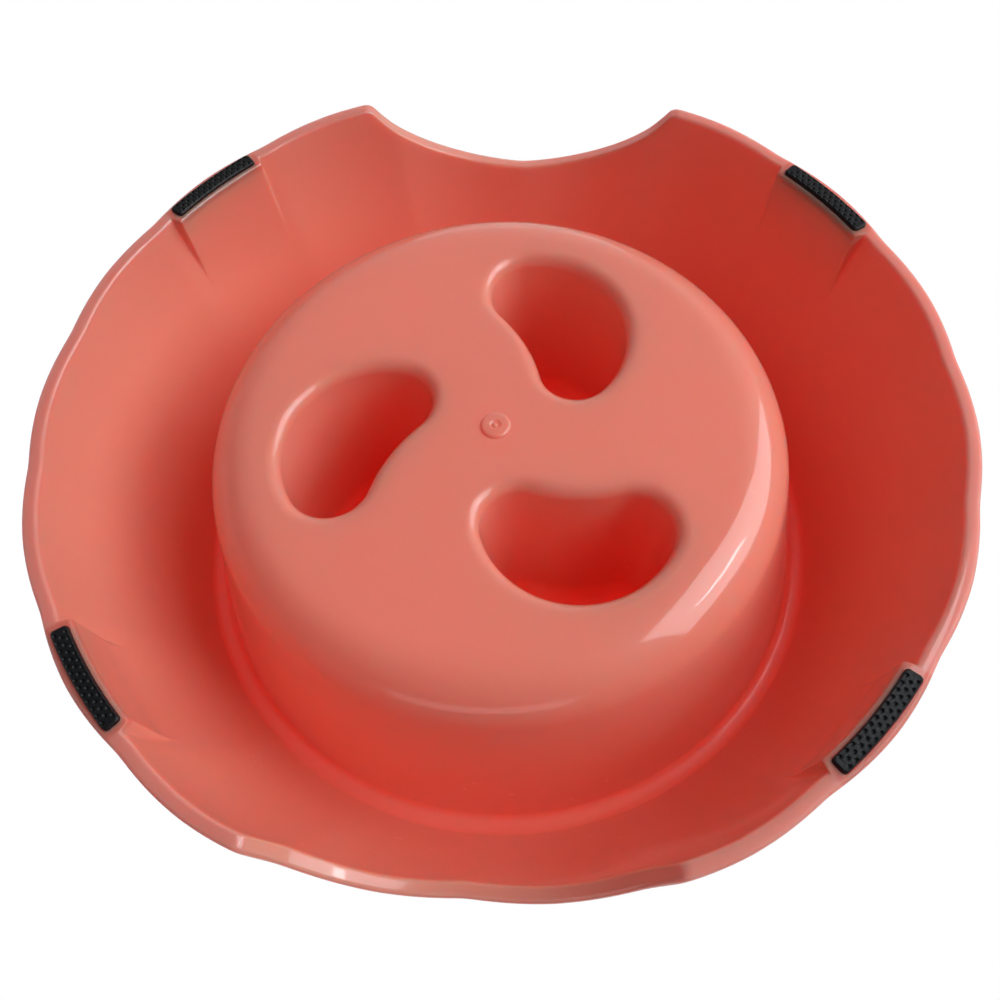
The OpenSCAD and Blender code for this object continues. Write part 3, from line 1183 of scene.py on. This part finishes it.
@dataclass(frozen=True)
class MouldedGrain:
    """Fine unevenness of a moulded skin: slow waves with a finer grain over them."""

    wave_scale: float = 90.0
    wave_detail: float = 2.0
    grain_scale: float = 1400.0
    grain_detail: float = 3.0
    grain_rough: float = 0.6
    grain_share: float = 0.3
    patch_share: float = 0.35
    patch_detail: float = 4.0
    patch_cut: tuple[float, float] = (0.2, 0.8)

    def build(self) -> bpy.types.NodeTree:
        """Makes the shared group.

        Returns:
            A group with the outputs Height and Patches.
        """
        tree, nodes, start, end = new_group(
            "moulded_grain",
            {"Wave Scale": self.wave_scale, "Grain Scale": self.grain_scale, "Grain Share": self.grain_share},
            ("Height", "Patches"))
        place, wave_scale = start.outputs["Position"], start.outputs["Wave Scale"]
        wave = nodes.noise(place, wave_scale, self.wave_detail)
        grain = nodes.noise(place, start.outputs["Grain Scale"], self.grain_detail, self.grain_rough)
        height = nodes.maths("ADD", wave, nodes.maths("MULTIPLY", grain, start.outputs["Grain Share"]))
        nodes.wire(height, end.inputs["Height"])
        patch_scale = nodes.maths("MULTIPLY", wave_scale, self.patch_share)
        patches = nodes.noise(place, patch_scale, self.patch_detail, self.grain_rough)
        nodes.wire(nodes.ramp(patches, *self.patch_cut), end.inputs["Patches"])
        return tree


@dataclass(frozen=True)
class HandlingMarks:
    """Marks of handling: sets of broken fine lines, each turned another way, and rare specks of dust."""

    density: float = 0.5
    turns: tuple[float, ...] = (0.35, 1.5, 2.45)
    lean: tuple[float, float] = (0.1, 0.15)
    shift: tuple[float, float] = (0.3, 0.1)
    squeeze: tuple[float, float, float] = (90, 3000, 700)
    line_detail: float = 1.0
    line_rough: float = 0.4
    line_cut: tuple[float, float] = (0.74, 0.78)
    break_scale: float = 60.0
    break_growth: float = 15.0
    break_detail: float = 2.0
    break_rough: float = 0.6
    break_cut: tuple[float, float] = (0.6, 0.7)
    speck_scale: float = 420.0
    speck_cut: tuple[float, float] = (0.05, 0.09)
    rare_scale: float = 120.0
    rare_detail: float = 1.0
    rare_cut: tuple[float, float] = (0.6, 0.66)

    def build(self) -> bpy.types.NodeTree:
        """Makes the shared group.

        Each set of lines is a noise squeezed across the lines, cut at its peaks,
        and broken up by a slow noise, so that only short stretches of it show.
        The specks are the cores of small cells, where a slow noise peaks.

        Returns:
            A group with the outputs Mask and Dust.
        """
        tree, nodes, start, end = new_group("handling_marks", {"Density": self.density}, ("Mask", "Dust"))
        place = start.outputs["Position"]
        total: Feed = 0.0
        for number, turn in enumerate(self.turns):
            lean = (self.lean[0] * number, self.lean[1], turn)
            shift = (self.shift[0] * number, self.shift[1], 0)
            squeezed = nodes.stretch(place, lean, self.squeeze, shift)
            lines = nodes.noise(squeezed, 1.0, self.line_detail, self.line_rough)
            break_scale = self.break_scale + self.break_growth * number
            slow = nodes.noise(place, break_scale, self.break_detail, self.break_rough)
            fine, broken = nodes.ramp(lines, *self.line_cut), nodes.ramp(slow, *self.break_cut)
            total = nodes.maths("ADD", total, nodes.maths("MULTIPLY", fine, broken), clamp=True)
        nodes.wire(nodes.maths("MULTIPLY", total, start.outputs["Density"]), end.inputs["Mask"])
        specks = nodes.add("TexVoronoi", feature="F1")
        nodes.wire(place, specks.inputs["Vector"])
        specks.inputs["Scale"].default_value = self.speck_scale
        near = nodes.ramp(specks.outputs["Distance"], *self.speck_cut, 1.0, 0.0)
        rare = nodes.ramp(nodes.noise(place, self.rare_scale, self.rare_detail), *self.rare_cut)
        nodes.wire(nodes.maths("MULTIPLY", near, rare), end.inputs["Dust"])
        return tree


def placed_group(nodes: NodeTree, tree: bpy.types.NodeTree, place: Feed,
                 **values: float) -> bpy.types.Node:
    """Places a shared group in a material.

    Args:
        nodes: The material's builder.
        tree: The group.
        place: The position that it reads.
        values: Its numbers, with spaces written as underscores.

    Returns:
        The group's node.
    """
    node = nodes.add("Group", node_tree=tree)
    nodes.wire(place, node.inputs["Position"])
    for name, value in values.items():
        node.inputs[name.replace("_", " ")].default_value = value
    return node


def blank_material(name: str) -> tuple[bpy.types.Material, NodeTree]:
    """Starts a material with nodes.

    Args:
        name: The material's name.

    Returns:
        The material and its builder.
    """
    material = bpy.data.materials.new(name)
    material.use_nodes = True
    return material, NodeTree(material.node_tree)


def new_material(name: str) -> tuple[bpy.types.Material, NodeTree, bpy.types.Node, bpy.types.NodeSocket]:
    """Starts a material with its Principled shader.

    Args:
        name: The material's name.

    Returns:
        The material, its builder, its shader and the object's own coordinates.
    """
    material, nodes = blank_material(name)
    shader = material.node_tree.nodes["Principled BSDF"]
    place = nodes.add("TexCoord").outputs["Object"]
    return material, nodes, shader, place


@dataclass(frozen=True)
class CoralPlastic:
    """Glossy coral polypropylene that lets some light through its thin walls.

    It is duller high in the channel and the pockets, and its rest edge is
    rubbed. The thin lips round the feet lose the red light that comes through
    the wall there, so their colour is painted redder, a painted red glow.
    """

    colour: tuple[float, float, float, float] = (0.98, 0.31, 0.225, 1)
    pale: tuple[float, float, float, float] = (0.95, 0.45, 0.38, 1)
    rubbed: tuple[float, float, float, float] = (1.0, 0.29, 0.23, 1)
    rubbed_to: tuple[float, float] = (0.0012, 0.0032)
    lip_painted_glow: tuple[float, float, float, float] = (1.0, 0.2, 0.15, 1)
    lip_bearing: float = math.radians(FootSeat.bearing)
    lip_reach: tuple[float, float] = (0.133, 0.143)
    rough: float = 0.06
    faded: float = 0.04
    scratched: float = 0.4
    patchy: float = 0.02
    scuffed: float = 0.3
    scratch_depth: float = 0.5
    ior: float = 1.52
    wave_scale: float = 70.0
    grain_scale: float = 1500.0
    grain_share: float = 0.1
    density: float = 0.6
    bump_strength: float = 0.15
    bump_distance: float = 0.00005
    duller: float = 0.15
    duller_from: tuple[float, float] = (0.03, 0.05)
    through: float = 0.85
    satin: float = 0.6
    satin_rough: float = 0.42
    through_radius: tuple[float, float, float] = (1.0, 0.1, 0.06)
    through_scale: float = 0.0125

    def build(self, grain: bpy.types.NodeTree, marks: bpy.types.NodeTree) -> bpy.types.Material:
        """Makes the material.

        Args:
            grain: The shared group of moulded grain.
            marks: The shared group of scratches and dust.

        Returns:
            The material.
        """
        material, nodes, shader, place = new_material("coral_plastic")
        skin = placed_group(nodes, grain, place, Wave_Scale=self.wave_scale,
                            Grain_Scale=self.grain_scale, Grain_Share=self.grain_share)
        worn = placed_group(nodes, marks, place, Density=self.density)
        patches, scratches = skin.outputs["Patches"], worn.outputs["Mask"]
        faded = nodes.maths("MULTIPLY", patches, self.faded)
        paleness = nodes.maths("ADD", faded, nodes.maths("MULTIPLY", scratches, self.scratched), clamp=True)
        x, y, z = nodes.axes(place)
        low_edge_band = nodes.ramp(z, *self.rubbed_to, 1.0, 0.0)
        bearing = nodes.maths("ARCTAN2", nodes.maths("ABSOLUTE", y), nodes.maths("ABSOLUTE", x))
        from_foot = nodes.maths("ABSOLUTE", nodes.maths("SUBTRACT", bearing, self.lip_bearing))
        # Painted red glow: the lips beside the feet are painted redder to stand in for light through the
        # wall, which the feet block.
        painted_glow_at_lip = nodes.maths("MULTIPLY", low_edge_band, nodes.ramp(from_foot, *self.lip_reach, 1.0, 0.0))
        skin_colour = nodes.mix(painted_glow_at_lip, nodes.mix(low_edge_band, self.colour, self.rubbed), self.lip_painted_glow)
        nodes.wire(nodes.mix(paleness, skin_colour, self.pale), shader.inputs["Base Color"])
        patchy = nodes.maths("MULTIPLY_ADD", patches, self.patchy, self.rough)
        dull = nodes.maths("MULTIPLY", nodes.ramp(z, *self.duller_from), self.duller)
        scuffed = nodes.maths("MULTIPLY_ADD", scratches, self.scuffed, nodes.maths("ADD", patchy, dull))
        nodes.wire(scuffed, shader.inputs["Roughness"])
        shader.inputs["IOR"].default_value = self.ior
        shader.inputs["Coat Weight"].default_value = self.satin
        shader.inputs["Coat Roughness"].default_value = self.satin_rough
        shader.inputs["Subsurface Weight"].default_value = self.through
        shader.inputs["Subsurface Radius"].default_value = self.through_radius
        shader.inputs["Subsurface Scale"].default_value = self.through_scale
        groove = nodes.maths("MULTIPLY", scratches, self.scratch_depth)
        relief = nodes.maths("SUBTRACT", skin.outputs["Height"], groove)
        nodes.wire(nodes.bump(relief, self.bump_strength, self.bump_distance), shader.inputs["Normal"])
        return material


@dataclass(frozen=True)
class BlackRubber:
    """Matt black rubber with a fine grain and pale dust in it."""

    colour: tuple[float, float, float, float] = (0.002, 0.002, 0.003, 1)
    dusty: tuple[float, float, float, float] = (0.05, 0.055, 0.06, 1)
    rough: float = 0.36
    patchy: float = 0.15
    dust_share: float = 0.04
    ior: float = 1.42
    wave_scale: float = 400.0
    grain_scale: float = 2600.0
    grain_share: float = 0.9
    density: float = 1.0
    bump_strength: float = 0.8
    bump_distance: float = 0.00012

    def build(self, grain: bpy.types.NodeTree, marks: bpy.types.NodeTree) -> bpy.types.Material:
        """Makes the material.

        Args:
            grain: The shared group of moulded grain.
            marks: The shared group of scratches and dust.

        Returns:
            The material.
        """
        material, nodes, shader, place = new_material("black_rubber")
        skin = placed_group(nodes, grain, place, Wave_Scale=self.wave_scale,
                            Grain_Scale=self.grain_scale, Grain_Share=self.grain_share)
        worn = placed_group(nodes, marks, place, Density=self.density)
        patches = skin.outputs["Patches"]
        dust = nodes.maths("MULTIPLY_ADD", patches, self.dust_share, worn.outputs["Dust"], clamp=True)
        nodes.wire(nodes.mix(dust, self.colour, self.dusty), shader.inputs["Base Color"])
        nodes.wire(nodes.maths("MULTIPLY_ADD", patches, self.patchy, self.rough), shader.inputs["Roughness"])
        shader.inputs["IOR"].default_value = self.ior
        relief = nodes.bump(skin.outputs["Height"], self.bump_strength, self.bump_distance)
        nodes.wire(relief, shader.inputs["Normal"])
        return material


@dataclass
class Studio:
    """Camera, light and floor. The bowl is seen from under the table that it stands on."""

    camera_at: tuple[float, float, float] = (-0.01723624, -0.11673969, -0.18460969)
    camera_turn: tuple[float, float, float] = (-152.59332, -2.474201, 176.08312)
    lens: float = 36.634
    sensor: float = 36.0
    clip: tuple[float, float] = (0.005, 20.0)
    room_light: tuple[tuple[float, float], ...] = ((0.1, 0.12), (0.56, 0.1), (2.0, 0.13))
    window_distance: float = 1.5
    window_colour: tuple[float, float, float, float] = (0.93, 0.97, 1.0, 1)
    window_from: tuple[float, float, float] = (-0.634, 0.102, -0.767)
    window_across: tuple[float, float, float] = (-0.159, -0.987, 0.0)
    window_up: tuple[float, float, float] = (-0.757, 0.122, 0.642)
    window_light: float = 3.5
    window_corners: tuple[tuple[float, float], ...] = (
        (-0.69, 0.6), (-0.45, 0.22), (-0.33, 0.02), (-0.28, -0.25), (-0.25, -0.36), (0.17, -0.29),
        (0.36, -0.25), (0.8, 0.5), (0.6, 0.43), (0.4, 0.43), (0.25, 0.5), (0.07, 0.65), (-0.15, 0.74),
        (-0.4, 0.72))
    gap_light: float = 13.0
    gap_corners: tuple[tuple[float, float], ...] = (
        (0.01, 0.29), (0.0, 0.2), (0.02, 0.14), (0.08, 0.11), (0.15, 0.08), (0.28, 0.04), (0.29, 0.07),
        (0.2, 0.125), (0.13, 0.165), (0.06, 0.22), (0.03, 0.27))
    gap_ahead: float = 0.01
    horizon: tuple[float, float] = (0.25, 0.45)
    floor_colour: tuple[float, float, float, float] = (0.9, 0.9, 0.9, 1)
    floor_rough: float = 0.8
    middle_radius: float = 0.1
    floor_radius: float = 3.0
    floor_sides: int = 96

    def build(self) -> None:
        """Sets the camera, the world, the window and the floor."""
        self.place_camera()
        self.light_world()
        self.hang_window()
        self.lay_floor()
        bpy.context.scene.view_settings.view_transform = "Standard"

    def place_camera(self) -> None:
        """Puts the camera at the measured place, below the bowl."""
        data = bpy.data.cameras.new("camera")
        data.lens, data.sensor_width = self.lens, self.sensor
        data.clip_start, data.clip_end = self.clip
        camera = linked("camera", data)
        camera.location = self.camera_at
        camera.rotation_euler = Euler([math.radians(a) for a in self.camera_turn])
        bpy.context.scene.camera = camera

    def light_world(self) -> None:
        """Lights the room softly and shows white behind the bowl.

        The soft light comes in lobes along the six axes, each as strong as its
        number times the squared cosine of the angle to its axis. The camera
        sees white all round. Reflections see white too, but only well above
        the horizon, and elsewhere the room.
        """
        world = bpy.data.worlds.new("studio")
        world.use_nodes = True
        bpy.context.scene.world = world
        nodes = NodeTree(world.node_tree)
        world.node_tree.nodes.clear()
        ways = nodes.axes(nodes.add("TexCoord").outputs["Generated"])
        room: Feed = 0.0
        for part, (ahead, behind) in zip(ways, self.room_light):
            side = nodes.maths("GREATER_THAN", part, 0.0)
            strength = nodes.maths("MULTIPLY_ADD", side, ahead - behind, behind)
            lobe = nodes.maths("MULTIPLY", nodes.maths("MULTIPLY", part, part), strength)
            room = nodes.maths("ADD", room, lobe)
        path = nodes.add("LightPath")
        mirrored = nodes.maths("MAXIMUM", path.outputs["Is Glossy Ray"], path.outputs["Is Transmission Ray"])
        above = nodes.ramp(ways[2], *self.horizon)
        seen = nodes.maths("MAXIMUM", path.outputs["Is Camera Ray"], nodes.maths("MULTIPLY", mirrored, above))
        background = nodes.add("Background")
        nodes.wire(nodes.mix(seen, room, (1, 1, 1, 1)), background.inputs["Color"])
        nodes.wire(background.outputs[0], nodes.add("OutputWorld").inputs["Surface"])

    def hang_window(self) -> None:
        """Makes the window, and in front of it the gap between the curtains, where it is brightest."""
        self.hang_pane("window_pane", self.window_corners, self.window_light, self.window_distance)
        self.hang_pane("window_gap", self.gap_corners, self.gap_light, self.window_distance - self.gap_ahead)

    def hang_pane(self, name: str, corners: tuple[tuple[float, float], ...], light: float,
                  distance: float) -> None:
        """Makes a bright pane whose corners lie in measured directions.

        Args:
            name: The pane's name.
            corners: Places across and up in the window's plane, at a distance of one.
            light: Its brightness.
            distance: Its distance, in metres.
        """
        across, up = Vector(self.window_across), Vector(self.window_up)
        points = [(Vector(self.window_from) + across * u + up * v) * distance for u, v in corners]
        mesh = bpy.data.meshes.new(name)
        mesh.from_pydata([tuple(point) for point in points], [], [tuple(range(len(points)))])
        pane = linked(name, mesh)
        material, nodes = blank_material(name)
        material.node_tree.nodes.clear()
        glow = nodes.add("Emission")
        glow.inputs["Color"].default_value = self.window_colour
        glow.inputs["Strength"].default_value = light
        nodes.wire(glow.outputs[0], nodes.add("OutputMaterial").inputs["Surface"])
        mesh.materials.append(material)
        pane.visible_camera = False

    def lay_floor(self) -> None:
        """Lays a pale floor that is seen from above and keeps the bowl's shadow there.

        Its middle, under the bowl, hides from reflections, because the bowl's
        underside mirrors the window through it. The rest shows in the skirt.
        """
        material, nodes = blank_material("pale_floor")
        shader = material.node_tree.nodes["Principled BSDF"]
        shader.inputs["Base Color"].default_value = self.floor_colour
        shader.inputs["Roughness"].default_value = self.floor_rough
        turn = nodes.add("MixShader")
        nodes.wire(nodes.add("NewGeometry").outputs["Backfacing"], turn.inputs[0])
        nodes.wire(shader.outputs[0], turn.inputs[1])
        nodes.wire(nodes.add("BsdfTransparent").outputs[0], turn.inputs[2])
        nodes.wire(turn.outputs[0], material.node_tree.nodes["Material Output"].inputs["Surface"])
        pieces = (("floor_middle", 0.0, self.middle_radius, False),
                  ("floor", self.middle_radius, self.floor_radius, True))
        for name, inner, outer, mirrored in pieces:
            floor = self.floor_ring(name, inner, outer)
            floor.data.materials.append(material)
            floor.visible_diffuse = floor.visible_transmission = floor.visible_shadow = False
            floor.visible_glossy = mirrored

    def floor_ring(self, name: str, inner: float, outer: float) -> bpy.types.Object:
        """Makes a flat ring or disc of the floor, facing up.

        Args:
            name: The piece's name.
            inner: The radius of its hole, in metres, or zero.
            outer: Its radius, in metres.

        Returns:
            The new object.
        """
        turns = np.linspace(0.0, 2 * np.pi, self.floor_sides, endpoint=False)
        rings = [[(r * math.cos(a), r * math.sin(a), 0.0) for a in turns] for r in (outer, inner) if r > 0]
        count = self.floor_sides
        faces = [tuple(range(count))] if len(rings) == 1 else [
            (k, (k + 1) % count, count + (k + 1) % count, count + k) for k in range(count)]
        mesh = bpy.data.meshes.new(name)
        mesh.from_pydata([point for ring in rings for point in ring], [], faces)
        return linked(name, mesh)


def main() -> None:
    """Builds the bowl, its feet and the studio."""
    logging.basicConfig(level=logging.INFO, format="%(name)s %(message)s")
    grain, marks = MouldedGrain().build(), HandlingMarks().build()
    coral, rubber = CoralPlastic().build(grain, marks), BlackRubber().build(grain, marks)
    bowl = Bowl()
    shell = bowl.build()
    shell.data.materials.append(coral)
    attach(shell, BODY)
    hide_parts("bowl")
    for place in FootPlace:
        foot = Foot(place, bowl.seat).build()
        foot.data.materials.append(rubber)
        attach(foot, BODY)
        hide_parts(place.value)
    Studio().build()


if __name__ == "__main__":
    main()
